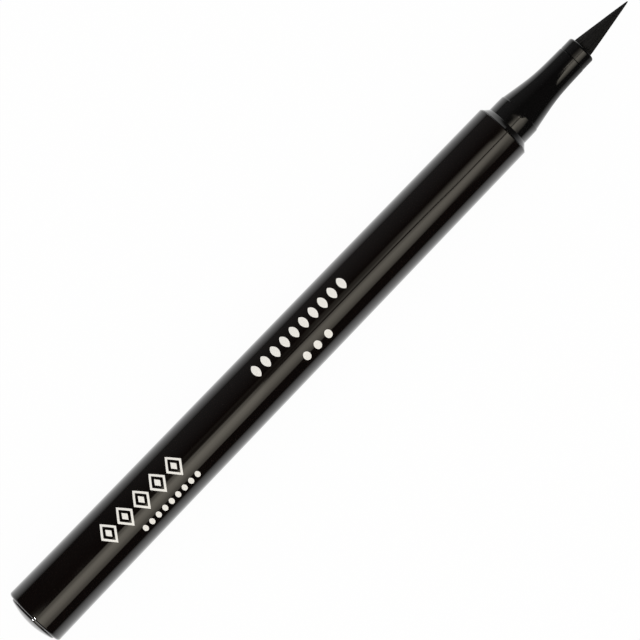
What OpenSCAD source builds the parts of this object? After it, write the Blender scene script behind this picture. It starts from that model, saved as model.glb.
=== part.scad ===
// Liquid eyeliner pen with its cap off: a tapered barrel that holds the ink, a domed tail plug,
// a stepped nose and a pointed brush. The pen lies along +X with its brush at +X, its tail end
// rests on the ground, and the origin is under the middle of its length.
// Places along the pen are counted from the barrel's tail end and grow towards the brush.

/* [Barrel] */
// Length of the barrel tube
barrel_l = 102.1; // [90:0.1:125]
// Outer diameter at the barrel's front edge
barrel_front_d = 9.37; // [8.8:0.01:11]
// Diameter gained from the front edge back to the start of the tail flare
barrel_draft = 0.7; // [0.2:0.05:1.4]
// Diameter gained along the tail flare
tail_flare = 0.19; // [0:0.01:0.5]
// Length of the tail flare
tail_flare_l = 12; // [4:1:25]
// Thickness of the wall at the front edge, round the straight bore that holds the ink
barrel_wall = 1.285; // [1:0.005:1.5]
// Radius of the rounded edge at the tail
tail_edge_r = 0.4; // [0.1:0.05:0.6]
// Width of the flat ring between the rounded edge and the plug's seat
tail_land_w = 0.43; // [0.2:0.01:0.8]
// Width of the small bevel on the front edge
front_edge = 0.12; // [0.02:0.01:0.2]

/* [Tail plug] */
// Depth of the rim's seat in the barrel
plug_rim_sunk = 0.9; // [0.5:0.1:1.5]
// Height of the rim that stands out of the barrel, rounded edge included
plug_rim_proud = 0.3; // [0.1:0.05:0.8]
// Height of the dome above the rim
plug_dome_h = 0.8; // [0.4:0.05:2]
// Radius of the rounded edge between the dome and the rim
plug_edge_r = 0.3; // [0.1:0.05:0.4]
// Length of the plug inside the barrel, rim seat included
plug_l = 8; // [6:0.5:14]
// Thickness of the plug's walls around its hollow
plug_wall = 0.9; // [0.6:0.05:1.1]

/* [Seal ring] */
// Thickness of the rubber ring's round section
seal_section_d = 1; // [0.7:0.05:1.2]
// Distance from the plug's inner end to the middle of the ring
seal_inset = 2; // [1.2:0.1:3]

/* [Mixing ball] */
// Diameter of the steel ball
ball_d = 3.175; // [2:0.005:4]
// Gap between the ball and the wall that it lies on
ball_gap = 0.06; // [0.02:0.01:0.1]
// Gap between the ball and the end that it stops at
ball_stop_gap = 0.1; // [0.05:0.05:0.5]

/* [Tank divider] */
// Length of the divider
divider_l = 4.5; // [3:0.5:8]
// Width of the flat rim round the funnel's wide end, on the ink side
funnel_rim_w = 0.75; // [0.4:0.05:1.2]
// Depth of the funnel
funnel_depth = 1.8; // [0.8:0.1:2.5]
// Depth of the relief grooves between the divider's sealing lands
land_relief = 0.25; // [0.1:0.05:0.5]
// Sealing lands along the divider
lands = 3; // [2:1:4]

/* [Collector] */
// Length of the finned part
fins_l = 27; // [18:1:34]
// Distance from one fin to the next
fin_pitch = 1.5; // [1.2:0.1:2.5]
// Thickness of a fin
fin_t = 0.5; // [0.3:0.05:0.7]
// Gap between the fins and the barrel's bore
fin_gap = 0.15; // [0.1:0.05:0.4]
// Thickness of the collector's core around the wick
collector_wall = 0.7; // [0.5:0.05:1]
// Length of the plain flange that the nose presses on
collector_flange_l = 2.5; // [1.5:0.5:4]
// Length of the boss that plugs into the nose
collector_boss_l = 5; // [3:0.5:7]
// Width of the air channel across the fins
air_channel_w = 1.2; // [0.6:0.1:1.6]
// Width of the slit that lets ink out between the fins
ink_slit_w = 0.3; // [0.15:0.05:0.5]

/* [Feed wick] */
// Diameter of the fibre rod
wick_d = 2; // [1.5:0.05:2.4]
// Distance that the rod's end is set back in the funnel, clear of the ball
wick_inset = 0.6; // [0:0.1:0.8]

/* [Nose] */
// Visible length of the nose, from the barrel to the mouth
nose_l = 17.4; // [16:0.1:22]
// Length of the nose that is pressed into the barrel
nose_spigot_l = 9; // [7:0.5:12]
// Step in from the barrel's edge to the shoulder
shoulder_step = 0.18; // [0.03:0.01:0.3]
// Length of the bevelled shoulder
shoulder_l = 0.96; // [0.5:0.02:2]
// Diameter of the cylinder that the cap slides on
seat_d = 7.35; // [7:0.05:8.2]
// Length of that cylinder, up to the taper that leads the cap in
seat_l = 1.5; // [1.2:0.05:3]
// Length of the lead-in taper
cap_lead_l = 1.25; // [0.6:0.05:1.6]
// Fall of the lead-in taper on each side
cap_lead_fall = 0.04; // [0.02:0.01:0.12]
// Height of the small bevelled step from the lead-in taper down to the start of the cone
cone_step = 0.08; // [0.05:0.01:0.4]
// Distance from the mouth back to where the cone's line meets the neck's
neck_l = 8.04; // [6:0.02:9]
// Draft angle of the neck
neck_draft = 0.95; // [0:0.05:1.5]
// Length over which the cone softens into the neck
sweep_soft = 1.1; // [0.4:0.05:1.6]
// Thickness of the neck's wall at the mouth
neck_wall = 0.36; // [0.3:0.005:0.8]
// Length of the web between the boss's socket and the sleeve
web_l = 2.4; // [1.5:0.1:4]
// Gap around the wick where it passes through the web
web_gap = 0.3; // [0.1:0.05:0.6]

/* [Mouth collar] */
// Visible length of the collar
collar_l = 2.3; // [1.2:0.1:3]
// Length of the collar's spigot inside the neck
collar_spigot_l = 1.4; // [0.8:0.1:2.5]
// Radius of the rounded edge at the mouth
mouth_edge_r = 0.38; // [0.1:0.02:0.5]
// Width of the bevels that make the seam between collar and neck
seam_edge = 0.06; // [0.02:0.01:0.12]

/* [Brush] */
// Length of the filaments in front of the mouth
brush_l = 9.96; // [7:0.02:14]
// Diameter of the bundle where it is gripped
brush_d = 3.36; // [2.8:0.02:4]
// Thickness of the wall of the sleeve around the bundle
sleeve_wall = 0.22; // [0.15:0.01:0.35]
// Thickness of the melted flange at the bundle's root
root_flange_l = 0.6; // [0.3:0.05:1]
// Distance from the mouth back to where the filaments come free
free_depth = 0.5; // [0.3:0.05:1]
// Length of each filament that is sunk in the bundle
strand_sunk = 0.15; // [0.05:0.05:0.25]
// Rows of filaments, from the guide tube out to the edge
strand_rows = 9; // [9:1:10]
// Filaments in the innermost row
first_row = 11; // [11:1:13]
// Gap between neighbouring filaments where they come free
strand_gap = 0.03; // [0.01:0.005:0.04]

/* [Guide tube] */
// Outer diameter of the fine tube in the middle of the bundle
guide_d = 0.8; // [0.6:0.05:0.9]
// Wall of the fine tube
guide_wall = 0.17; // [0.1:0.01:0.2]
// Length of the tube in front of the mouth
guide_reach = 0.8; // [0.2:0.1:1]
// Length of the tube inside the wick
guide_sunk = 2; // [1:0.1:3]

/* [Fits] */
// Gap all round between pieces that are pressed together
fit_gap = 0.05; // [0.02:0.01:0.08]
// Width of the bevel that leads a pressed piece in
lead_in = 0.3; // [0.1:0.05:0.4]

/* [Hidden] */

// Smoothness of everything turned, the steps in a rounded edge, in the dome and in the nose's sweep
$fn = 96;
edge_steps = 5;
dome_steps = 12;
sweep_steps = 20;
// How far a cut runs past what it cuts
overrun = 0.5;

// Outline of the brush: how far along it, and how wide it is there as a share of its gripped width
brush_outline_shares = [[0.3, 0.735], [0.85, 0.207], [1, 0.05]];
// The filaments end at slightly different places, within this share of the brush's length
brush_stagger_share = 0.1;
// Filaments that each row has more than the row inside it
row_growth = 5.6;
// A step round the rows that spreads the staggered ends evenly
golden_share = 0.618;

barrel_knee_d = barrel_front_d + barrel_draft;
barrel_tail_d = barrel_knee_d + tail_flare;
bore_r = barrel_front_d / 2 - barrel_wall;
fitted_r = bore_r - fit_gap;

tail_end = -plug_rim_proud - plug_dome_h;
mouth = barrel_l + nose_l;
brush_tip = mouth + brush_l;
middle = (tail_end + brush_tip) / 2;
axis_z = barrel_tail_d / 2;

nose_start = barrel_l - nose_spigot_l;
boss_end = nose_start + collector_boss_l;
web_start = boss_end + fit_gap;
sleeve_seat = web_start + web_l;
flange_start = nose_start - collector_flange_l;
collector_start = flange_start - fins_l;
divider_start = collector_start - fit_gap - divider_l;
wick_bore_r = wick_d / 2 + fit_gap;
wick_end = sleeve_seat;
core_r = wick_bore_r + collector_wall;

brush_r = brush_d / 2;
gripped_bore_r = brush_r + fit_gap;
sleeve_r = gripped_bore_r + sleeve_wall;
sleeve_bore_r = sleeve_r + fit_gap;
mouth_r = sleeve_bore_r + neck_wall;
collar_start = mouth - collar_l;
collar_back = collar_start - collar_spigot_l;
guide_bore_r = guide_d / 2 + fit_gap;
root_start = sleeve_seat + fit_gap;
sleeve_start = root_start + root_flange_l + fit_gap;
bundle_end = mouth - free_depth;

seat_r = seat_d / 2;
seat_start = barrel_l + shoulder_l;
cap_lead_start = seat_start + seat_l;
cap_lead_r = seat_r - cap_lead_fall;
cone_start = cap_lead_start + cap_lead_l;
knee = mouth - neck_l;

plug_seat_r = barrel_tail_d / 2 - tail_edge_r - tail_land_w;
plug_spigot_r = fitted_r;
seal_middle = plug_l - seal_inset;
seal_r = seal_section_d / 2;
seal_ring_r = bore_r - fit_gap - seal_r;
seal_floor_r = seal_ring_r - seal_r - fit_gap;
plug_hollow_r = seal_floor_r - plug_wall;

// Radius of the neck's straight line at a place along the pen, and the cone that swells from it
function neck_line(p) = mouth_r + (mouth - p) * tan(neck_draft);
function softened(d) = sweep_soft * ln(1 + exp(d / sweep_soft));
cone_slope = (cap_lead_r - cone_step - neck_line(cone_start)) / softened(knee - cone_start);
function nose_r(p) = neck_line(p) + cone_slope * softened(knee - p);

// Quarter round from the first angle to the second, as [radius, place] points
function round_edge(r, p, size, from, to) =
    [for (i = [0 : edge_steps]) let (a = from + (to - from) * i / edge_steps)
        [r + size * cos(a), p + size * sin(a)]];

// Turns an outline of [radius, place] points about the pen's axis
module turned(outline) {
    translate([-middle, 0, axis_z]) rotate([0, 90, 0]) rotate_extrude() polygon(outline);
}

// Puts a shape made along +Z onto the pen's axis, with its foot at a place along the pen
module on_axis(p) {
    translate([p - middle, 0, axis_z]) rotate([0, 90, 0]) children();
}

module barrel() {
    front_r = barrel_front_d / 2;
    color([0.06, 0.05, 0.05])
        turned(concat(
            [[plug_seat_r, 0]],
            round_edge(barrel_tail_d / 2 - tail_edge_r, tail_edge_r, tail_edge_r, -90, 0),
            [[barrel_knee_d / 2, tail_flare_l],
             [front_r, barrel_l - front_edge],
             [front_r - front_edge, barrel_l],
             [bore_r, barrel_l],
             [bore_r, plug_rim_sunk],
             [plug_seat_r, plug_rim_sunk]]));
}

module tail_plug() {
    rim_r = plug_seat_r - fit_gap;
    dome_r = (rim_r * rim_r + plug_dome_h * plug_dome_h) / (2 * plug_dome_h);
    dome_angle = asin((rim_r - plug_edge_r) / (dome_r - plug_edge_r));
    edge_middle = tail_end + dome_r - (dome_r - plug_edge_r) * cos(dome_angle);
    groove_half = seal_r + fit_gap;
    color([0.08, 0.08, 0.08])
        turned(concat(
            [for (i = [0 : dome_steps - 1]) let (a = dome_angle * i / dome_steps)
                [dome_r * sin(a), tail_end + dome_r * (1 - cos(a))]],
            round_edge(rim_r - plug_edge_r, edge_middle, plug_edge_r, dome_angle - 90, 0),
            [[rim_r, plug_rim_sunk - fit_gap],
             [plug_spigot_r, plug_rim_sunk - fit_gap],
             [plug_spigot_r, seal_middle - groove_half],
             [seal_floor_r, seal_middle - groove_half],
             [seal_floor_r, seal_middle + groove_half],
             [plug_spigot_r, seal_middle + groove_half],
             [plug_spigot_r, plug_l - lead_in],
             [plug_spigot_r - lead_in, plug_l],
             [plug_hollow_r, plug_l],
             [plug_hollow_r, plug_wall],
             [0, plug_wall]]));
}

module tail_seal_ring() {
    color([0.15, 0.15, 0.15])
        on_axis(seal_middle) rotate_extrude() translate([seal_ring_r, 0]) circle(r = seal_r);
}

module mixing_ball() {
    ball_r = ball_d / 2;
    color([0.8, 0.8, 0.82])
        translate([divider_start - ball_stop_gap - ball_r - middle, 0,
                   axis_z - bore_r + ball_gap + ball_r])
            sphere(r = ball_r);
}

module tank_divider() {
    funnel_r = fitted_r - funnel_rim_w;
    land_l = divider_l / (2 * lands - 1);
    relief_r = fitted_r - land_relief;
    color([0.9, 0.9, 0.88])
        turned(concat(
            [[funnel_r, divider_start], [fitted_r, divider_start]],
            [for (i = [1 : 2 * lands - 2], r = i % 2 == 1 ? [fitted_r, relief_r] : [relief_r, fitted_r])
                [r, divider_start + i * land_l]],
            [[fitted_r, divider_start + divider_l],
             [wick_bore_r, divider_start + divider_l],
             [wick_bore_r, divider_start + funnel_depth]]));
}

module ink_collector() {
    fin_r = bore_r - fin_gap;
    fins = floor(fins_l / fin_pitch);
    color([0.92, 0.92, 0.9])
        difference() {
            turned(concat(
                [[wick_bore_r, boss_end], [wick_bore_r, collector_start]],
                [for (i = [0 : fins - 1], corner = [[0, 0], [1, 0], [1, 1], [0, 1]])
                    [corner[0] == 0 ? core_r : fin_r,
                     collector_start + i * fin_pitch + (corner[1] == 0 ? 0 : fin_t)]],
                [[core_r, flange_start],
                 [fitted_r, flange_start],
                 [fitted_r, nose_start - fit_gap],
                 [core_r, nose_start - fit_gap],
                 [core_r, boss_end - lead_in],
                 [core_r - lead_in, boss_end]]));
            on_axis(collector_start - overrun)
                translate([-bore_r, -air_channel_w / 2, 0])
                    cube([bore_r - core_r, air_channel_w, fins_l + overrun]);
            on_axis(collector_start - overrun)
                translate([0, -ink_slit_w / 2, 0])
                    cube([bore_r, ink_slit_w, fins_l + overrun]);
        }
}

module feed_wick() {
    color([0.25, 0.25, 0.27])
        turned([
            [0, divider_start + wick_inset],
            [wick_d / 2, divider_start + wick_inset],
            [wick_d / 2, wick_end],
            [guide_bore_r, wick_end],
            [guide_bore_r, wick_end - guide_sunk - fit_gap],
            [0, wick_end - guide_sunk - fit_gap]]);
}

module nose_cone() {
    shoulder_r = barrel_front_d / 2 - shoulder_step;
    socket_r = core_r + fit_gap;
    sweep_l = collar_start - seam_edge - cone_start;
    color([0.09, 0.08, 0.09])
        turned(concat(
            [[socket_r, nose_start],
             [fitted_r - lead_in, nose_start],
             [fitted_r, nose_start + lead_in],
             [fitted_r, barrel_l + fit_gap],
             [shoulder_r, barrel_l + fit_gap],
             [seat_r, seat_start],
             [seat_r, cap_lead_start],
             [cap_lead_r, cone_start - cone_step]],
            [for (i = [0 : sweep_steps]) let (p = cone_start + sweep_l * i / sweep_steps)
                [nose_r(p), p]],
            [[nose_r(collar_start) - seam_edge, collar_start],
             [sleeve_bore_r, collar_start],
             [sleeve_bore_r, sleeve_seat],
             [wick_d / 2 + web_gap, sleeve_seat],
             [wick_d / 2 + web_gap, web_start],
             [socket_r, web_start]]));
}

module mouth_collar() {
    back = collar_start + fit_gap;
    color([0.1, 0.09, 0.09])
        turned(concat(
            [[gripped_bore_r, collar_back],
             [sleeve_bore_r - fit_gap, collar_back],
             [sleeve_bore_r - fit_gap, back],
             [mouth_r - seam_edge, back],
             [mouth_r, back + seam_edge]],
            round_edge(mouth_r - mouth_edge_r, mouth - mouth_edge_r, mouth_edge_r, 0, 90),
            [[gripped_bore_r, mouth]]));
}

module brush_sleeve() {
    color([0.75, 0.75, 0.75])
        turned([
            [gripped_bore_r, sleeve_start],
            [sleeve_r, sleeve_start],
            [sleeve_r, collar_back - fit_gap],
            [gripped_bore_r, collar_back - fit_gap]]);
}

module guide_tube() {
    guide_r = guide_d / 2;
    tube_start = wick_end - guide_sunk;
    color([0.85, 0.85, 0.8])
        turned([
            [guide_r - guide_wall, tube_start],
            [guide_r, tube_start],
            [guide_r, mouth + guide_reach],
            [guide_r - guide_wall, mouth + guide_reach]]);
}

// The rows of filaments lie between these radii where they come free
strand_in_r = guide_bore_r + strand_gap;
row_pitch = (brush_r - strand_in_r) / strand_rows;

// Where each filament stands: [row, angle, share of the stagger]
strand_seats = [
    for (row = [0 : strand_rows - 1])
        let (count = round(first_row + row_growth * row))
            for (i = [0 : count - 1])
                [row, 360 * i / count, (golden_share * (i + row * row)) % 1]];

// Half of a filament's width, as an angle, at a radius of a row
function half_angle(row, r) =
    180 / round(first_row + row_growth * row) - asin(strand_gap / 2 / r);

// The four corners of a filament where it comes free, round its own edge
function strand_corners(seat) =
    let (r0 = strand_in_r + seat[0] * row_pitch, r1 = r0 + row_pitch - strand_gap,
         a0 = half_angle(seat[0], r0), a1 = half_angle(seat[0], r1), t = seat[1])
        [[r0 * cos(t - a0), r0 * sin(t - a0)], [r1 * cos(t - a1), r1 * sin(t - a1)],
         [r1 * cos(t + a1), r1 * sin(t + a1)], [r0 * cos(t + a0), r0 * sin(t + a0)]];

// Rings along a filament, from its root to its end: [place from the mouth, width share]
function strand_rings(seat) =
    let (last = 1 - brush_stagger_share * seat[2])
        concat([[-free_depth - strand_sunk, 1]],
               [for (k = [0 : len(brush_outline_shares) - 2])
                   [brush_l * brush_outline_shares[k][0], brush_outline_shares[k][1]]],
               [[brush_l * last, lookup(last, brush_outline_shares)]]);

// A filament narrows in step with the whole brush, so that none crosses another
module strands() {
    corners = len(strand_corners(strand_seats[0]));
    rings = len(strand_rings(strand_seats[0]));
    per_strand = corners * rings;
    points = [for (seat = strand_seats, ring = strand_rings(seat), c = strand_corners(seat))
        [c[0] * ring[1], c[1] * ring[1], ring[0]]];
    faces = [for (s = [0 : len(strand_seats) - 1]) let (at = s * per_strand)
        each concat(
            [[for (c = [0 : corners - 1]) at + c]],
            [[for (c = [corners - 1 : -1 : 0]) at + per_strand - corners + c]],
            [for (k = [0 : rings - 2], c = [0 : corners - 1])
                let (here = at + k * corners, next = (c + 1) % corners)
                    [here + c, here + corners + c, here + corners + next, here + next]])];
    polyhedron(points = points, faces = faces);
}

module brush() {
    color([0.05, 0.05, 0.05]) {
        turned([
            [guide_bore_r, root_start],
            [sleeve_r, root_start],
            [sleeve_r, root_start + root_flange_l],
            [brush_r, root_start + root_flange_l],
            [brush_r, bundle_end],
            [guide_bore_r, bundle_end]]);
        on_axis(mouth) strands();
    }
}

echo(filaments = len(strand_seats), ink_chamber = divider_start - plug_l,
     ball_travel = divider_start - plug_l - ball_d - 2 * ball_stop_gap,
     overall = brush_tip - tail_end);

barrel();
tail_plug();
tail_seal_ring();
mixing_ball();
tank_divider();
ink_collector();
feed_wick();
nose_cone();
mouth_collar();
brush_sleeve();
guide_tube();
brush();
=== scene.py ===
import math

import bmesh
import bpy
import numpy as np
from mathutils import Matrix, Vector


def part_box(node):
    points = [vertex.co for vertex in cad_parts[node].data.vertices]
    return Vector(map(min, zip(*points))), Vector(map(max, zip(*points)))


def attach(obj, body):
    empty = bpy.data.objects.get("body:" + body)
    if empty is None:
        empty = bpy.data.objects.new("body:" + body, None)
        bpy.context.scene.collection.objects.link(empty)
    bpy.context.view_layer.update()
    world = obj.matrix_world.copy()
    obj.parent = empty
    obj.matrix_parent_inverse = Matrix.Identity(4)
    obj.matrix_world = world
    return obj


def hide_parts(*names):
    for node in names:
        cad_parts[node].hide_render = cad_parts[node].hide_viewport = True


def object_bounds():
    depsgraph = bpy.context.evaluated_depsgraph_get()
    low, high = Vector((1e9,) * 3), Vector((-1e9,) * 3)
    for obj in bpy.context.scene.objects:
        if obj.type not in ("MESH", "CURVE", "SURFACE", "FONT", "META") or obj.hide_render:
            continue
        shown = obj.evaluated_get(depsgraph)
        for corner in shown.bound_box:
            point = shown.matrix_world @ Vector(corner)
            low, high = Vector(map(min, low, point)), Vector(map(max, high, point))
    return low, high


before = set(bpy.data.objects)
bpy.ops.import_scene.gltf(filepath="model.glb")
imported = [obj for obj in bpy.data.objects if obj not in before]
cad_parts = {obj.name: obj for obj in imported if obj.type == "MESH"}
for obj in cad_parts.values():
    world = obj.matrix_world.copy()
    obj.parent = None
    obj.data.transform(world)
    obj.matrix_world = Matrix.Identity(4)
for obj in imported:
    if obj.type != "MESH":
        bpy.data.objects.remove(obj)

cad_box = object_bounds()
scene = bpy.context.scene
scene.view_settings.view_transform = "Standard"


# The photographer's table: a white surface that glows evenly, with the pen lying on it. The camera
# looks down on it from above the rear half of the barrel, turned so that the pen lies corner to
# corner with its brush at the upper right, and leans to look at the pen's middle. In the pen's
# reflections the table's glow fades to both sides, and from the nose on towards the front.
pen_lean = math.radians(46.07)
camera_height = 0.70513
camera_x = -0.027
framed_x = -0.00193
framed_y = 0.00007
table_half = 14.0
table_paint = 0.95
table_glow_share = 0.97
glow_reach = 0.036
glow_lean = 0.25
glow_front_x = 0.040
glow_front_reach = 0.045
glow_front_lean = 0.75

camera_data = bpy.data.cameras.new("table_camera")
camera_data.lens = 260.62
camera_data.sensor_width = 36.0
camera_data.clip_start = 0.01
camera_data.clip_end = 60.0
camera_lean = math.atan((framed_x - camera_x) / (camera_height - cad_box[1][2] / 2))
camera = bpy.data.objects.new("table_camera", camera_data)
camera.location = (camera_x, framed_y, camera_height)
camera.rotation_euler = (Matrix.Rotation(-camera_lean, 3, "Y")
                         @ Matrix.Rotation(-pen_lean, 3, "Z")).to_euler()
scene.collection.objects.link(camera)
scene.camera = camera


def add_node(tree, kind, inputs=None, **settings):
    """Adds a node. An input that is a socket is linked, any other is set as a plain value."""
    node = tree.nodes.new(kind)
    for name, value in settings.items():
        setattr(node, name, value)
    for name, value in (inputs or {}).items():
        if isinstance(value, bpy.types.NodeSocket):
            tree.links.new(value, node.inputs[name])
        else:
            node.inputs[name].default_value = value
    return node


def maths(tree, operation, a, b=0.0, c=0.0):
    """One sum on numbers or sockets, such as MULTIPLY or MAXIMUM."""
    return add_node(tree, "ShaderNodeMath", {0: a, 1: b, 2: c}, operation=operation).outputs[0]


def object_place(tree):
    """The place on the object, in metres."""
    return add_node(tree, "ShaderNodeTexCoord").outputs["Object"]


def rays_seen(tree):
    """The light path, and 1 for rays that the camera sees straight or through something clear."""
    light_path = add_node(tree, "ShaderNodeLightPath").outputs
    return light_path, maths(tree, "MAXIMUM", light_path["Is Camera Ray"],
                             light_path["Is Transmission Ray"])


def two_tone(tree, factor, a, b):
    """A mix of two colours."""
    return add_node(tree, "ShaderNodeMix", {"Factor": factor, "A": a, "B": b},
                    data_type="RGBA").outputs["Result"]


def new_material(name):
    """An empty node material and its tree."""
    material = bpy.data.materials.new(name)
    material.use_nodes = True
    material.node_tree.nodes.clear()
    return material, material.node_tree


def grid_mesh(name, points, material, around=False, along=False):
    """One mesh from one or more grids of points: an array of rows by columns by xyz, or of grids by
    rows by columns by xyz. Quads join each point to the next in its row and its column, and the last
    row or column joins the first where along or around is true."""
    points = points.reshape(-1, *points.shape[-3:])
    at = np.arange(points.size // 3).reshape(points.shape[:-1])
    if around:
        at = np.concatenate([at, at[:, :, :1]], axis=2)
    if along:
        at = np.concatenate([at, at[:, :1]], axis=1)
    quads = np.stack([at[:, :-1, :-1], at[:, :-1, 1:], at[:, 1:, 1:], at[:, 1:, :-1]], axis=-1)
    mesh = bpy.data.meshes.new(name)
    mesh.vertices.add(points.size // 3)
    mesh.vertices.foreach_set("co", points.astype(np.float32).ravel())
    mesh.loops.add(quads.size)
    mesh.loops.foreach_set("vertex_index", quads.astype(np.int32).ravel())
    mesh.polygons.add(quads.size // 4)
    mesh.polygons.foreach_set("loop_start", np.arange(0, quads.size, 4, dtype=np.int32))
    mesh.update(calc_edges=True)
    mesh.materials.append(material)
    piece = bpy.data.objects.new(name, mesh)
    scene.collection.objects.link(piece)
    return piece


def sheet(name, x, y, height, material):
    """A level sheet at a height. The columns stand at x, and each row of y has one place a column."""
    y = np.array(y, float)
    x = np.broadcast_to(np.array(x, float), y.shape)
    return grid_mesh(name, np.stack([x, y, np.full(y.shape, height)], axis=-1), material)


table_white, tree = new_material("table_white")
place = add_node(tree, "ShaderNodeSeparateXYZ", {0: object_place(tree)})
light_path, seen = rays_seen(tree)
mirrored = light_path["Is Glossy Ray"]
which_side = maths(tree, "SIGN", place.outputs["Y"])
reach = maths(tree, "MULTIPLY_ADD", which_side, -glow_lean * glow_reach, glow_reach)
falloff = maths(tree, "DIVIDE", reach, maths(tree, "ABSOLUTE", place.outputs["Y"]))
beside = maths(tree, "SUBTRACT", 1.0,
               maths(tree, "EXPONENT", maths(tree, "MULTIPLY", falloff, -1.0)))
front_reach = maths(tree, "MULTIPLY_ADD", which_side, glow_front_lean * glow_front_reach,
                    glow_front_reach)
in_front = maths(tree, "MAXIMUM", maths(tree, "SUBTRACT", place.outputs["X"], glow_front_x), 0.0)
front_fade = maths(tree, "EXPONENT", maths(
    tree, "MULTIPLY", maths(tree, "DIVIDE", in_front, front_reach), -1.0))
glow = maths(tree, "MULTIPLY", beside, front_fade)
strength = maths(tree, "MAXIMUM", seen, maths(tree, "MULTIPLY", mirrored, glow))
paint = add_node(tree, "ShaderNodeBsdfDiffuse", {
    "Color": (table_paint, table_paint, table_paint, 1)})
shine = add_node(tree, "ShaderNodeEmission", {"Color": (1, 1, 1, 1), "Strength": strength})
share = maths(tree, "MULTIPLY", maths(tree, "MAXIMUM", seen, mirrored), table_glow_share)
table_mix = add_node(tree, "ShaderNodeMixShader", {0: share, 1: paint.outputs[0], 2: shine.outputs[0]})
add_node(tree, "ShaderNodeOutputMaterial", {"Surface": table_mix.outputs[0]})
table = sheet("table_top", [-table_half, 0, table_half],
              [[-table_half] * 3, [0] * 3, [table_half] * 3], 0.0, table_white)


# The lights over the table: a large warm softbox on the pen's lower right side, sewn from a back, a
# middle and a front panel, three dimmer side panels that leave a thin slanting seam, a faint strip
# behind them and a faint card over the tail. A small spot behind and above the tail glints in its
# edges, and the dim room fills the shadows.
ceiling_height = 0.6
warm_white = (1.0, 0.93, 0.79, 1)
fill_level = 0.9
room_level = 0.02
room_side_level = 0.075
room_side_from = 0.3
room_ahead_from = -0.033
room_ahead_to = 0.003
spot_lean = math.radians(32)

light_cloth, tree = new_material("light_cloth")
painted = add_node(tree, "ShaderNodeAttribute", attribute_name="glow")
cloth = add_node(tree, "ShaderNodeEmission", {"Color": warm_white, "Strength": painted.outputs["Fac"]})
add_node(tree, "ShaderNodeOutputMaterial", {"Surface": cloth.outputs[0]})


def hang_panel(name, x, inner, rows, outer, column_glow=1.0, front=None):
    """A light panel under the ceiling, painted with a glow. Its columns stand at x, each from its
    inner edge to its outer edge. The rows between are (place, glow), with one glow or one a column,
    and the first and the last row give only the glow of the edges. Where the panel's front edge is
    curved, front has its x for each row. The camera doesn't see the panel."""
    x = np.array(x, float)
    glow = np.stack([np.broadcast_to(row[1], x.shape) for row in rows]) * column_glow
    middles = [np.full(x.shape, row[0]) for row in rows[1:-1]]
    y = np.stack([np.broadcast_to(inner, x.shape), *middles, np.broadcast_to(outer, x.shape)])
    x = np.broadcast_to(x, y.shape).copy()
    if front is not None:
        x[:, -1] = front
    panel = sheet(name, x[::-1], y[::-1], ceiling_height, light_cloth)
    panel.data.attributes.new("glow", "FLOAT", "POINT").data.foreach_set("value", glow[::-1].ravel())
    panel.visible_camera = False


hang_panel("softbox_back", [-0.61, -0.12, -0.0094, 0.0010], -0.057,
           [(0, 0.44),
            (-0.0975, [0.80, 0.80, 0.80, 0.54]),
            (-0.153, [0.86, 0.86, 0.86, 0.76]),
            (-0.1685, 1.12), (-0.255, 1.44), (-0.405, 1.23), (-0.603, 0.74), (0, 0.44)],
           [-1.18, -0.90, -0.835, -0.83], [1.12, 1.12, 1.21, 1.22])
hang_panel("softbox_middle", [0.0010, 0.0511], -0.107,
           [(0, 0.74), (-0.20, 1.28), (-0.255, 1.46), (-0.405, 1.23), (-0.603, 0.74), (0, 0.44)],
           [-0.83, -0.80])
hang_panel("softbox_front", [0.0511, 0.0696, 0.0789, 0.1100, 0.1400, 0.1460],
           [-0.108, -0.138, -0.175, -0.177, -0.178, -0.180],
           [(0, [0.80, 0.92, 0.92, 0.95, 1.00, 2.00]),
            (-0.20, [1.25, 1.22, 1.22, 1.28, 1.25, 1.95]),
            (-0.255, [1.47, 1.47, 1.47, 1.52, 1.30, 1.70]),
            (-0.405, [1.25, 1.25, 1.25, 1.00, 1.10, 1.12]),
            (-0.603, [0.75, 0.75, 0.75, 0.34, 0.66, 0.48]),
            (0, [0.45, 0.45, 0.45, 0.0, 0.0, 0.20])],
           [-0.80, -0.79, -0.785, -0.785, -1.10, -0.80],
           front=[0.147, 0.148, 0.153, 0.193, 0.237, 0.266])
hang_panel("side_panel", [0.0140, 0.0213, 0.0440, 0.0530, 0.0576], 0.170,
           [(0, 0.0), (0.115, 0.38), (0.076, 0.60), (0.038, 0.50), (0.0, 0.78), (-0.035, 1.36),
            (0, 1.50)],
           [-0.055, -0.058, -0.061, -0.066, -0.071], [0.0, 0.35, 0.40, 0.50, 0.61])
hang_panel("side_middle", [0.0576, 0.0600, 0.0696, 0.0789, 0.0865, 0.0930], 0.157,
           [(0, 0.0), (0.115, [0.24, 0.22, 0.18, 0.16, 0.12, 0.10]),
            (0.076, [0.50, 0.48, 0.44, 0.44, 0.40, 0.32]), (0.038, 0.72), (0.0, 1.0), (-0.035, 1.22),
            (-0.070, 1.36), (0, 1.42)],
           [-0.071, -0.074, -0.095, -0.135, -0.138, -0.138], [0.61, 0.66, 0.69, 0.71, 0.76, 0.77])
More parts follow.
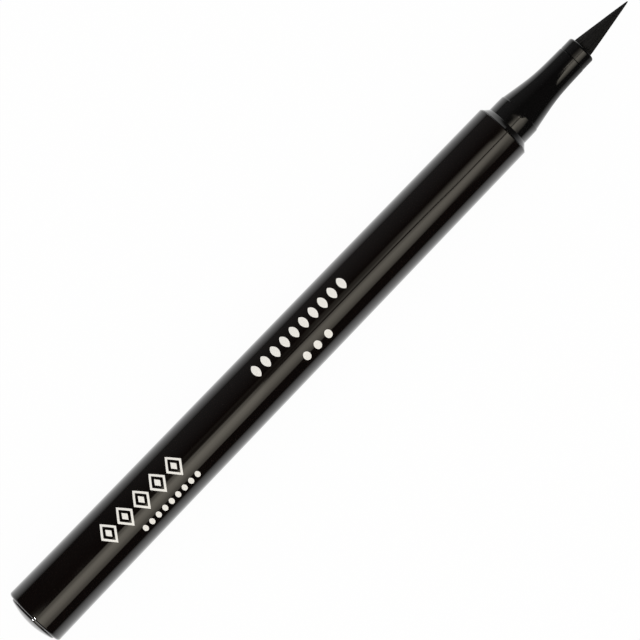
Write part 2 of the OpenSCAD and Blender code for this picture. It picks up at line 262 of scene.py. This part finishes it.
hang_panel("side_front", [0.0930, 0.0968, 0.1000, 0.1100, 0.1230, 0.1400],
           [0.115, 0.110, 0.110, 0.110, 0.330, 0.100],
           [(0, 0.0),
            (0.069, [0.12, 0.05, 0.08, 0.05, 0.33, 0.02]),
            (0.0305, [0.33, 0.15, 0.20, 0.16, 0.36, 0.04]),
            (-0.0075, [0.63, 0.34, 0.40, 0.36, 0.42, 0.10]),
            (-0.0456, [0.98, 0.66, 0.66, 0.56, 0.56, 0.55]),
            (-0.084, [1.20, 1.08, 0.92, 0.80, 0.69, 1.35]),
            (0, [1.30, 1.40, 1.20, 1.00, 0.88, 2.60])],
           -0.140, front=[0.139, 0.140, 0.141, 0.1415, 0.1425, 0.144, 0.147])
hang_panel("side_strip", [-0.060, -0.035, 0.0138], 0.170,
           [(0, 0.0), (0.105, 0.08), (0.067, 0.09), (0.030, 0.05), (-0.0075, 0.06), (0, 0.14)], -0.055,
           [0.0, 1.0, 1.0])
hang_panel("tail_card", [-0.30, -0.0832, -0.0822], 0.25,
           [(0, 0.0), (0.113, 0.12), (0.042, 0.45), (0.010, 0.72), (-0.028, 0.85), (0, 0.90)], -0.0565,
           [1.0, 1.0, 0.0])

spot_data = bpy.data.lights.new("tail_spot", "AREA")
spot_data.shape = "DISK"
spot_data.size = 0.075
spot_data.energy = 2.2
spot = bpy.data.objects.new("tail_spot", spot_data)
spot.location = (-0.326, -0.028, 0.42)
spot.rotation_euler = (0.0, -spot_lean, 0.0)
spot.visible_camera = False
spot.visible_diffuse = False
scene.collection.objects.link(spot)

world = bpy.data.worlds.new("white_room")
scene.world = world
world.use_nodes = True
tree = world.node_tree
tree.nodes.clear()
ray = add_node(tree, "ShaderNodeSeparateXYZ",
               {0: add_node(tree, "ShaderNodeTexCoord").outputs["Generated"]})
light_path, seen = rays_seen(tree)
# The room glows faintly on the side across from the softbox, for rays that lean towards the brush.
sideways = add_node(tree, "ShaderNodeMapRange", {
    "Value": ray.outputs["Y"], "From Min": room_side_from, "From Max": 1.0, "To Max": room_side_level})
ahead = add_node(tree, "ShaderNodeMapRange", {
    "Value": ray.outputs["X"], "From Min": room_ahead_from, "From Max": room_ahead_to})
dim = maths(tree, "MULTIPLY_ADD", sideways.outputs[0], ahead.outputs[0], room_level)
fill = add_node(tree, "ShaderNodeMix", {"Factor": light_path["Is Glossy Ray"], "A": fill_level,
                                        "B": dim})
room_glow = maths(tree, "MAXIMUM", fill.outputs[0], seen)
room = add_node(tree, "ShaderNodeBackground", {"Color": (1, 1, 1, 1), "Strength": room_glow})
add_node(tree, "ShaderNodeOutputWorld", {"Surface": room.outputs[0]})


# The barrel: one long tube of black plastic with a clear gloss lacquer, moulded with a draft that
# leaves the tail a little thicker, a rounded tail edge, and a straight bore for the ink.
mm = 0.001
tail_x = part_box("barrel")[0].x
barrel_front_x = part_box("barrel")[1].x
barrel_l = barrel_front_x - tail_x
axis_z = (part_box("barrel")[0].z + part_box("barrel")[1].z) / 2
barrel_tail_r = (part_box("barrel")[1].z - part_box("barrel")[0].z) / 2
barrel_front_r = 4.685 * mm
bore_r = 3.4 * mm
tail_flare = 0.095 * mm
tail_flare_l = 12 * mm
tail_edge_r = 0.4 * mm
front_edge = 0.12 * mm
plug_seat_r = 4.3 * mm
plug_seat_l = 0.9 * mm
plug_seat_edge = 0.02 * mm
flare_power = 1.3
flare_rows = 12
draft_rows = 32
beside_edge = 0.02 * mm
turned_steps = 256
cloud_scale = 160.0
grain_scale = 1400.0
grain_share = 0.35
speck_scale = 900.0
speck_size = 0.055
speck_share = 0.03
speck_grey = (0.35, 0.34, 0.33, 1)
flow_scale = 60.0
flow_shade = 0.8
wave_h = 0.02 * mm
plastic_ior = 1.5


def turned(name, outline, material, sharp=40):
    """A piece turned about the pen's axis from [radius, place] points, places counted from the
    barrel's tail: each point becomes the circle (place, r sin a, r cos a). An outline that starts
    and ends on the axis closes there, and any other outline closes on itself."""
    outline = np.array(outline, float)
    angles = np.linspace(0, 2 * np.pi, turned_steps, endpoint=False)
    points = np.stack([np.broadcast_to(tail_x + outline[:, 1:2], (len(outline), turned_steps)),
                       outline[:, :1] * np.sin(angles),
                       axis_z + outline[:, :1] * np.cos(angles)], axis=-1)
    closed = outline[0, 0] > 0
    piece = grid_mesh(name, points, material, around=True, along=closed)
    finish_surface(piece, sharp)
    return piece


def finish_surface(piece, sharp):
    """Joins points that coincide, turns all faces outwards and smooths across edges flatter than sharp,
    in degrees."""
    shell = bmesh.new()
    shell.from_mesh(piece.data)
    bmesh.ops.remove_doubles(shell, verts=shell.verts, dist=1e-8)
    bmesh.ops.recalc_face_normals(shell, faces=shell.faces)
    shell.to_mesh(piece.data)
    shell.free()
    piece.data.shade_smooth()
    piece.data.set_sharp_from_angle(angle=math.radians(sharp))


def arc(r, p, size, start, end, steps=8):
    """Part of a circle in the outline: [r + size cos a, p + size sin a] from one angle to the other."""
    a = np.radians(np.linspace(start, end, steps + 1))
    return np.stack([r + size * np.cos(a), p + size * np.sin(a)], axis=-1)


def barrel_surface_r(p):
    """Radius of the barrel's skin at a place: a straight draft, and a short flare at the tail."""
    draft = (barrel_tail_r - tail_flare - barrel_front_r) * np.clip(
        (barrel_l - p) / (barrel_l - tail_flare_l), 0, 1)
    return barrel_front_r + draft + tail_flare * np.clip(1 - p / tail_flare_l, 0, 1) ** flare_power


moulded = bpy.data.node_groups.new("moulded_finish", "ShaderNodeTree")
for socket_name, kind, side in [("Vector", "NodeSocketVector", "INPUT"),
                                ("Grain", "NodeSocketFloat", "INPUT"),
                                ("Smooth", "NodeSocketFloat", "INPUT"),
                                ("Rough", "NodeSocketFloat", "INPUT"),
                                ("Roughness", "NodeSocketFloat", "OUTPUT"),
                                ("Height", "NodeSocketFloat", "OUTPUT"),
                                ("Dust", "NodeSocketFloat", "OUTPUT")]:
    moulded.interface.new_socket(socket_name, in_out=side, socket_type=kind)
given = add_node(moulded, "NodeGroupInput")
cloudy = add_node(moulded, "ShaderNodeTexNoise", {
    "Vector": given.outputs["Vector"], "Scale": cloud_scale, "Detail": 3.0, "Roughness": 0.55})
grain = add_node(moulded, "ShaderNodeTexNoise", {"Vector": given.outputs["Vector"],
                                                 "Scale": given.outputs["Grain"], "Detail": 2.0})
specks = add_node(moulded, "ShaderNodeTexVoronoi", {
    "Vector": given.outputs["Vector"], "Scale": speck_scale, "Randomness": 1.0})
speck = maths(moulded, "LESS_THAN", specks.outputs["Distance"], speck_size)
blotch = add_node(moulded, "ShaderNodeMapRange", {
    "Value": cloudy.outputs["Fac"], "From Min": 0.35, "From Max": 0.65,
    "To Min": given.outputs["Smooth"], "To Max": given.outputs["Rough"]})
wave = maths(moulded, "MULTIPLY_ADD", grain.outputs["Fac"], grain_share, cloudy.outputs["Fac"])
add_node(moulded, "NodeGroupOutput", {"Roughness": blotch.outputs[0], "Height": wave, "Dust": speck})


def finished(tree, place, grain, smooth, rough):
    """The moulded finish at a place, with its grain, and its gloss between smooth and rough."""
    return add_node(tree, "ShaderNodeGroup", {
        "Vector": place, "Grain": grain, "Smooth": smooth, "Rough": rough}, node_tree=moulded).outputs


def black_plastic(name, colour, smooth, rough, lacquer, bump):
    """Black moulded plastic: a flow-marked colour, gloss that clouds between smooth and rough, a
    faint waviness, a few specks of dust, and a share of clear lacquer."""
    material, tree = new_material(name)
    place = object_place(tree)
    finish = finished(tree, place, grain_scale, smooth, rough)
    flow = add_node(tree, "ShaderNodeTexNoise", {"Vector": place, "Scale": flow_scale, "Detail": 2.0})
    tint = two_tone(tree, flow.outputs["Fac"], (*colour, 1), (*[c * flow_shade for c in colour], 1))
    dusty = two_tone(tree, maths(tree, "MULTIPLY", finish["Dust"], speck_share), tint, speck_grey)
    bumps = add_node(tree, "ShaderNodeBump", {"Strength": bump, "Distance": wave_h,
                                              "Height": finish["Height"]})
    skin = add_node(tree, "ShaderNodeBsdfPrincipled", {
        "Base Color": dusty, "Roughness": finish["Roughness"], "IOR": plastic_ior,
        "Coat Weight": lacquer, "Coat Roughness": 0.03, "Coat IOR": plastic_ior,
        "Normal": bumps.outputs[0]})
    add_node(tree, "ShaderNodeOutputMaterial", {"Surface": skin.outputs[0]})
    return material


gloss_black = black_plastic("gloss_black", (0.0030, 0.0015, 0.0011), 0.045, 0.09, 0.7, 0.08)

rows = np.concatenate([[tail_edge_r + beside_edge],
                       np.linspace(tail_edge_r, tail_flare_l, flare_rows)[1:],
                       np.linspace(tail_flare_l, barrel_l, draft_rows)[1:-1],
                       [barrel_l - front_edge - beside_edge]])
skin = np.stack([barrel_surface_r(rows), rows], axis=-1)
barrel_outline = np.concatenate([
    [[plug_seat_r, plug_seat_edge], [plug_seat_r + plug_seat_edge, 0]],
    arc(barrel_surface_r(tail_edge_r) - tail_edge_r, tail_edge_r, tail_edge_r, -90, 0),
    skin,
    arc(barrel_front_r - front_edge, barrel_l - front_edge, front_edge, 0, 90, steps=4),
    [[bore_r, barrel_l], [bore_r, plug_seat_l], [plug_seat_r, plug_seat_l]]])
barrel = turned("barrel_skin", barrel_outline, gloss_black)
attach(barrel, "pen")
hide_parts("barrel")


# The tail plug: a black plastic cup pressed into the barrel's tail. Its rim stands just proud of the
# barrel and carries a low dome, and a groove round its spigot holds the seal ring.
plug_tail_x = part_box("tail_plug")[0].x
plug_front_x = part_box("tail_plug")[1].x
fit_gap = 0.05 * mm
rim_r = plug_seat_r - fit_gap
plug_edge_r = 0.3 * mm
dome_h = 0.8 * mm
plug_l = plug_front_x - tail_x
plug_wall = 0.9 * mm
plug_spigot_r = bore_r - fit_gap
groove_floor_r = 2.3 * mm
groove_half = 0.55 * mm
seal_back = 2 * mm
seal_middle = plug_l - seal_back
lead_in = 0.3 * mm
dome_rows = 20

plug_black = black_plastic("plug_black", (0.0046, 0.0034, 0.0031), 0.06, 0.12, 0.5, 0.1)
dome_start = plug_tail_x - tail_x
dome_r = (rim_r ** 2 + dome_h ** 2) / (2 * dome_h)
dome_end_a = math.asin((rim_r - plug_edge_r) / (dome_r - plug_edge_r))
dome_a = np.linspace(0, dome_end_a, dome_rows)[:-1]
dome = np.stack([dome_r * np.sin(dome_a), dome_start + dome_r * (1 - np.cos(dome_a))], axis=-1)
edge_middle = dome_start + dome_r - (dome_r - plug_edge_r) * math.cos(dome_end_a)
plug_outline = np.concatenate([
    dome,
    arc(rim_r - plug_edge_r, edge_middle, plug_edge_r, math.degrees(dome_end_a) - 90, 0),
    [[rim_r, plug_seat_l - fit_gap],
     [plug_spigot_r, plug_seat_l - fit_gap],
     [plug_spigot_r, seal_middle - groove_half],
     [groove_floor_r, seal_middle - groove_half],
     [groove_floor_r, seal_middle + groove_half],
     [plug_spigot_r, seal_middle + groove_half],
     [plug_spigot_r, plug_l - lead_in],
     [plug_spigot_r - lead_in, plug_l],
     [groove_floor_r - plug_wall, plug_l],
     [groove_floor_r - plug_wall, plug_wall],
     [0, plug_wall]]])
tail_plug = turned("tail_plug_skin", plug_outline, plug_black)
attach(tail_plug, "pen")
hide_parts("tail_plug")


# The pieces inside: a rubber ring on the plug, the steel mixing ball, a divider and a finned
# collector moulded in natural plastic, the fibre wick, and the brush's sleeve and guide tube.
tone_size = 4
grain_h = 0.03 * mm
glow_depth = 0.5 * mm


def inside_finish(node, material):
    """Gives a solid of the frame its finish."""
    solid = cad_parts[node]
    solid.data.materials.clear()
    solid.data.materials.append(material)


def plain_finish(name, colour, shade, grain, smooth, rough, bump, metal=0.0, glow_through=0.0):
    """A material with two close tones in a grain, and gloss and bump from the moulded finish."""
    material, tree = new_material(name)
    place = object_place(tree)
    finish = finished(tree, place, grain, smooth, rough)
    flow = add_node(tree, "ShaderNodeTexNoise", {"Vector": place, "Scale": grain / tone_size,
                                                 "Detail": 3.0})
    tint = two_tone(tree, flow.outputs["Fac"], (*colour, 1), (*shade, 1))
    bumps = add_node(tree, "ShaderNodeBump", {"Strength": bump, "Distance": grain_h,
                                              "Height": finish["Height"]})
    skin = add_node(tree, "ShaderNodeBsdfPrincipled", {
        "Base Color": tint, "Roughness": finish["Roughness"], "IOR": plastic_ior, "Metallic": metal,
        "Subsurface Weight": glow_through, "Subsurface Scale": glow_depth,
        "Normal": bumps.outputs[0]})
    add_node(tree, "ShaderNodeOutputMaterial", {"Surface": skin.outputs[0]})
    return material


seal_rubber = plain_finish("seal_rubber", (0.03, 0.03, 0.03), (0.022, 0.022, 0.023), 2400, 0.45, 0.6,
                           0.2)
ball_steel = plain_finish("ball_steel", (0.75, 0.75, 0.76), (0.68, 0.68, 0.7), 3000, 0.06, 0.12, 0.02,
                          metal=1.0)
inner_plastic = plain_finish("inner_plastic", (0.8, 0.8, 0.77), (0.74, 0.74, 0.7), 1200, 0.3, 0.42,
                             0.08, glow_through=0.2)
wick_fibre = plain_finish("wick_fibre", (0.08, 0.08, 0.09), (0.03, 0.03, 0.035), 6000, 0.7, 0.9, 0.6)
inside_finish("tail_seal_ring", seal_rubber)
inside_finish("mixing_ball", ball_steel)
inside_finish("feed_wick", wick_fibre)
for node in ("tank_divider", "ink_collector", "brush_sleeve", "guide_tube"):
    inside_finish(node, inner_plastic)


# The nose: one black moulding pressed into the barrel. A faintly hollow, bevelled shoulder steps down
# to the short cylinder that the cap slides on, a slight taper leads the cap in, and after a small soft
# step a concave cone sweeps into the neck.
nose_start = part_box("nose_cone")[0].x - tail_x
seat_r = 3.675 * mm
barrel_ledge = 0.18 * mm
shoulder_r = barrel_front_r - barrel_ledge
shoulder_l = 0.96 * mm
shoulder_hollow = 0.015 * mm
shoulder_rows = 9
seat_start = barrel_l + shoulder_l
seat_l = 1.5 * mm
cap_lead_start = seat_start + seat_l
cap_lead_drop = 0.04 * mm
cap_lead_r = seat_r - cap_lead_drop
cap_lead_l = 1.25 * mm
cone_start = cap_lead_start + cap_lead_l
cone_step = 0.08 * mm
step_l = 0.3 * mm
step_rows = 11
sweep_rows = 48
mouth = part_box("mouth_collar")[1].x - tail_x
mouth_r = 2.36 * mm
neck_l = 8.04 * mm
neck_draft = math.radians(0.95)
sweep_soft = 1.1 * mm
collar_l = 2.3 * mm
collar_start = mouth - collar_l
seam_edge = 0.06 * mm
brush_r = 1.68 * mm
gripped_bore_r = brush_r + fit_gap
sleeve_bore_r = 2.0 * mm
sleeve_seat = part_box("brush")[0].x - tail_x - fit_gap
socket_r = 1.8 * mm
web_hole_r = 1.3 * mm
web_l = 2.4 * mm
small_edge = 0.03 * mm
sharp_nose = 25


def neck_line(p):
    """Radius of the neck's straight drafted line at a place."""
    return mouth_r + (mouth - p) * np.tan(neck_draft)


def softened(d):
    """A bend from level to a steady slope: the length of the softening times ln(1 + e^(d/length))."""
    return sweep_soft * np.log1p(np.exp(d / sweep_soft))


def nose_r(p):
    """Radius of the nose's front part: the neck's line, and the cone that swells from it."""
    slope = (cap_lead_r - cone_step - neck_line(cone_start)) / softened(mouth - neck_l - cone_start)
    return neck_line(p) + slope * softened(mouth - neck_l - p)


def stepped_r(p):
    """Radius in front of the seat: the lead-in taper passes into the cone along an S-curve, 3t^2 - 2t^3
    over the step's length."""
    taper = seat_r + (cap_lead_r - seat_r) * (p - cap_lead_start) / (cone_start - cap_lead_start)
    t = np.clip((p - cone_start) / step_l + 0.5, 0, 1)
    return taper + (nose_r(p) - taper) * (3 - 2 * t) * t ** 2


nose_black = black_plastic("nose_black", (0.0024, 0.0021, 0.0021), 0.05, 0.09, 0.8, 0.08)
sweep = np.concatenate([cone_start + step_l * np.linspace(-0.5, 0.5, step_rows),
                        np.linspace(cone_start + step_l, collar_start - seam_edge, sweep_rows)])
shoulder_start = np.array([shoulder_r, barrel_l + fit_gap + small_edge])
shoulder_end = np.array([seat_r + small_edge, seat_start - small_edge])
# The bevel's hollow, 4t(1 - t), goes inwards and back by equal parts.
down = np.linspace(0, 1, shoulder_rows)[:, None]
shoulder = (shoulder_start + (shoulder_end - shoulder_start) * down
            - shoulder_hollow * math.sqrt(0.5) * 4 * down * (1 - down))
nose_outline = np.concatenate([
    [[socket_r, nose_start],
     [plug_spigot_r - lead_in, nose_start],
     [plug_spigot_r, nose_start + lead_in],
     [plug_spigot_r, barrel_l + fit_gap],
     [shoulder_r - small_edge, barrel_l + fit_gap]],
    shoulder,
    [[seat_r, seat_start],
     [seat_r, cap_lead_start]],
    np.stack([stepped_r(sweep), sweep], axis=-1),
    [[nose_r(collar_start) - seam_edge, collar_start],
     [sleeve_bore_r, collar_start],
     [sleeve_bore_r, sleeve_seat],
     [web_hole_r, sleeve_seat],
     [web_hole_r, sleeve_seat - web_l],
     [socket_r, sleeve_seat - web_l]]])
nose = turned("nose_skin", nose_outline, nose_black, sharp_nose)
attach(nose, "pen")
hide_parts("nose_cone")


# The mouth collar: a short ring pressed into the neck's end, which holds the brush's sleeve. Small
# bevels on both sides of the seam leave a fine groove round the neck.
collar_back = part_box("mouth_collar")[0].x - tail_x
mouth_edge_r = 0.38 * mm
mouth_bevel = 0.05 * mm
seam_at = collar_start + fit_gap
collar_outline = np.concatenate([
    [[gripped_bore_r, collar_back],
     [sleeve_bore_r - fit_gap, collar_back],
     [sleeve_bore_r - fit_gap, seam_at],
     [mouth_r - seam_edge, seam_at],
     [mouth_r, seam_at + seam_edge],
     [mouth_r, seam_at + seam_edge + beside_edge],
     [mouth_r, mouth - mouth_edge_r - beside_edge]],
    arc(mouth_r - mouth_edge_r, mouth - mouth_edge_r, mouth_edge_r, 0, 90, steps=10),
    [[gripped_bore_r + mouth_bevel, mouth],
     [gripped_bore_r, mouth - mouth_bevel]]])
collar = turned("mouth_collar_skin", collar_outline, nose_black, sharp_nose)
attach(collar, "pen")
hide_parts("mouth_collar")


# The brush: a bundle of fine black synthetic filaments, melted together at the root, that draws
# together to a sharp point. A real brush has too many filaments to count, so the bundle has a core.
brush_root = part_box("brush")[0].x - tail_x
brush_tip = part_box("brush")[1].x - tail_x
brush_l = brush_tip - mouth
free_depth = 0.5 * mm
outline_at = [0.0, 0.3, 0.85, 1.0]
outline_width = [1.0, 0.735, 0.207, 0.05]
filaments = 900
filament_r = 0.05 * mm
filament_sides = 5
filament_rings = 12
stagger_share = 0.12
stagger_power = 1.5
thinned_share = 0.75
least_thick = 0.2
turn_spread = 0.05
stray_spread = 0.06
sway_r = 0.012 * mm
sway_waves = (0.6, 1.6)
golden_turn = np.pi * (3 - math.sqrt(5))
streak_stretch = 0.08
strand_scale = 9000.0
core_share = 0.88
core_end = mouth + 0.88 * brush_l
core_tip = mouth + 0.92 * brush_l
core_rows = 16

dice = np.random.default_rng(7)


def bundle_r(p):
    """Radius of the bundle at a place: its gripped radius up to the mouth, then three straight tapers
    to the tip, each a little steeper than the last."""
    return brush_r * np.interp((p - mouth) / brush_l, outline_at, outline_width)


def with_ends(rows):
    """The rows with their first and last place doubled, to close a shape there."""
    return np.concatenate([rows[:, :1], rows, rows[:, -1:]], axis=1)


filament_black, tree = new_material("filament_black")
streak = add_node(tree, "ShaderNodeMapping", {"Vector": object_place(tree),
                                              "Scale": (streak_stretch, 1.0, 1.0)})
strands = add_node(tree, "ShaderNodeTexNoise", {"Vector": streak.outputs[0], "Scale": strand_scale,
                                                "Detail": 2.0})
tint = two_tone(tree, strands.outputs["Fac"], (0.002, 0.0018, 0.0018, 1), (0.009, 0.0087, 0.0087, 1))
rough = add_node(tree, "ShaderNodeMapRange", {"Value": strands.outputs["Fac"], "To Min": 0.45,
                                              "To Max": 0.62})
skin = add_node(tree, "ShaderNodeBsdfPrincipled", {"Base Color": tint, "Roughness": rough.outputs[0],
                                                   "IOR": 1.45})
add_node(tree, "ShaderNodeOutputMaterial", {"Surface": skin.outputs[0]})

# The filaments fill the bundle evenly: each stands a golden turn on from the last, and a little
# further out.
number = np.arange(filaments)
share_out = np.sqrt((number + 0.5) / filaments)
turn = number * golden_turn + dice.normal(0, turn_spread, filaments)
reach = 1 - stagger_share * dice.random(filaments) ** stagger_power
along = np.linspace(0, 1, filament_rings)[None, :] * reach[:, None]
spine_p = mouth - free_depth + along * (brush_l + free_depth)
thick = filament_r * np.clip(1.0 - thinned_share * along, least_thick, 1.0)
sway = sway_r * np.sin(2 * np.pi * (along * dice.uniform(*sway_waves, (filaments, 1))
                                    + dice.random((filaments, 1))))
spine_r = share_out[:, None] * (bundle_r(spine_p) - 0.5 * thick) + sway * (1 - along)
spine_turn = turn[:, None] + dice.normal(0, stray_spread, (filaments, 1)) * along
thick = with_ends(thick)
thick[:, [0, -1]] = 0
round_a = np.linspace(0, 2 * np.pi, filament_sides, endpoint=False)
strand_points = np.stack([
    np.broadcast_to(tail_x + with_ends(spine_p)[..., None], (*thick.shape, filament_sides)),
    with_ends(spine_r * np.sin(spine_turn))[..., None] + thick[..., None] * np.cos(round_a),
    axis_z + with_ends(spine_r * np.cos(spine_turn))[..., None] + thick[..., None] * np.sin(round_a)],
    axis=-1)

bundle = grid_mesh("brush_filaments", strand_points, filament_black, around=True)
finish_surface(bundle, sharp=60)
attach(bundle, "pen")
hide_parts("brush")

core_p = np.linspace(mouth - free_depth, core_end, core_rows)
core_outline = np.concatenate([
    [[0, brush_root], [brush_r, brush_root], [brush_r, mouth - free_depth]],
    np.stack([core_share * bundle_r(core_p), core_p], axis=-1),
    [[0, core_tip]]])
core = turned("brush_core", core_outline, filament_black)
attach(core, "pen")


# The print: plain white ornaments screen-printed on the barrel, a row of lozenges with a row of dots
# under it near the tail, and a row of leaves with three dots further on. They stand for no word.
ink_h = 0.02 * mm
ink_sunk = 0.02 * mm
mark_points = 48
mark_rings = 4
lozenge_row = (17.1 * mm, 31.1 * mm, 5, 0.66 * mm)
leaf_power = 0.5
mottle_scale = 5000.0
mottle_h = 0.01 * mm

print_white, tree = new_material("print_white")
mottle = add_node(tree, "ShaderNodeTexNoise", {"Vector": object_place(tree), "Scale": mottle_scale,
                                               "Detail": 3.0})
tint = two_tone(tree, mottle.outputs["Fac"], (0.97, 0.955, 0.915, 1), (0.90, 0.885, 0.845, 1))
rough = add_node(tree, "ShaderNodeMapRange", {"Value": mottle.outputs["Fac"], "To Min": 0.35,
                                              "To Max": 0.55})
grainy = add_node(tree, "ShaderNodeBump", {"Strength": 0.15, "Distance": mottle_h,
                                           "Height": mottle.outputs["Fac"]})
skin = add_node(tree, "ShaderNodeBsdfPrincipled", {"Base Color": tint, "Roughness": rough.outputs[0],
                                                   "IOR": plastic_ior, "Normal": grainy.outputs[0]})
add_node(tree, "ShaderNodeOutputMaterial", {"Surface": skin.outputs[0]})

share_round = np.linspace(0, 4, mark_points, endpoint=False)
lozenge = np.stack([np.interp(share_round, range(5), [1, 0, -1, 0, 1]),
                    np.interp(share_round, range(5), [0, 1, 0, -1, 0])], axis=-1)
dot = np.stack([np.cos(share_round * np.pi / 2), np.sin(share_round * np.pi / 2)], axis=-1)
leaf = dot * np.stack([np.abs(dot[:, 0]) ** leaf_power, np.ones(mark_points)], axis=-1)


def marks(shape, half_l, half_w, hole_share, first_p, last_p, count, turned_by):
    """A row of marks as [mark, ring, point, (place, way round)]: each mark is the shape scaled to its
    half length and half width, in rings from its hole, which may be nothing, to its edge. The marks
    stand evenly from the first place to the last, that far round the barrel from its top."""
    outline = shape * np.array([half_l, half_w])
    middles = np.stack([np.linspace(first_p, last_p, count), np.full(count, turned_by)], axis=-1)
    rings = outline * np.linspace(hole_share, 1, mark_rings)[:, None, None]
    return middles[:, None, None] + rings


ornaments = np.concatenate([
    marks(lozenge, 1.55 * mm, 1.9 * mm, 0.72, *lozenge_row),
    marks(lozenge, 0.55 * mm, 0.7 * mm, 0.0, *lozenge_row),
    marks(dot, 0.42 * mm, 0.55 * mm, 0.0, 21.5 * mm, 32.7 * mm, 9, -2.75 * mm),
    marks(leaf, 0.62 * mm, 1.05 * mm, 0.0, 49.9 * mm, 68.3 * mm, 10, 1.62 * mm),
    marks(dot, 0.6 * mm, 0.75 * mm, 0.0, 56.9 * mm, 61.5 * mm, 3, -2.3 * mm)])
# Each mark is a thin closed slab, raised by the ink's height, with both its edges sunk in the barrel.
section = with_ends(ornaments)
lift = np.full(mark_rings + 2, ink_h)
lift[[0, -1]] = -ink_sunk
print_r = barrel_surface_r(section[..., 0]) + lift[None, :, None]
around_a = section[..., 1] / barrel_front_r
print_points = np.stack([tail_x + section[..., 0], print_r * np.sin(around_a),
                         axis_z + print_r * np.cos(around_a)], axis=-1)
pen_print = grid_mesh("pen_print", print_points, print_white, around=True, along=True)
finish_surface(pen_print, sharp=40)
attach(pen_print, "pen")
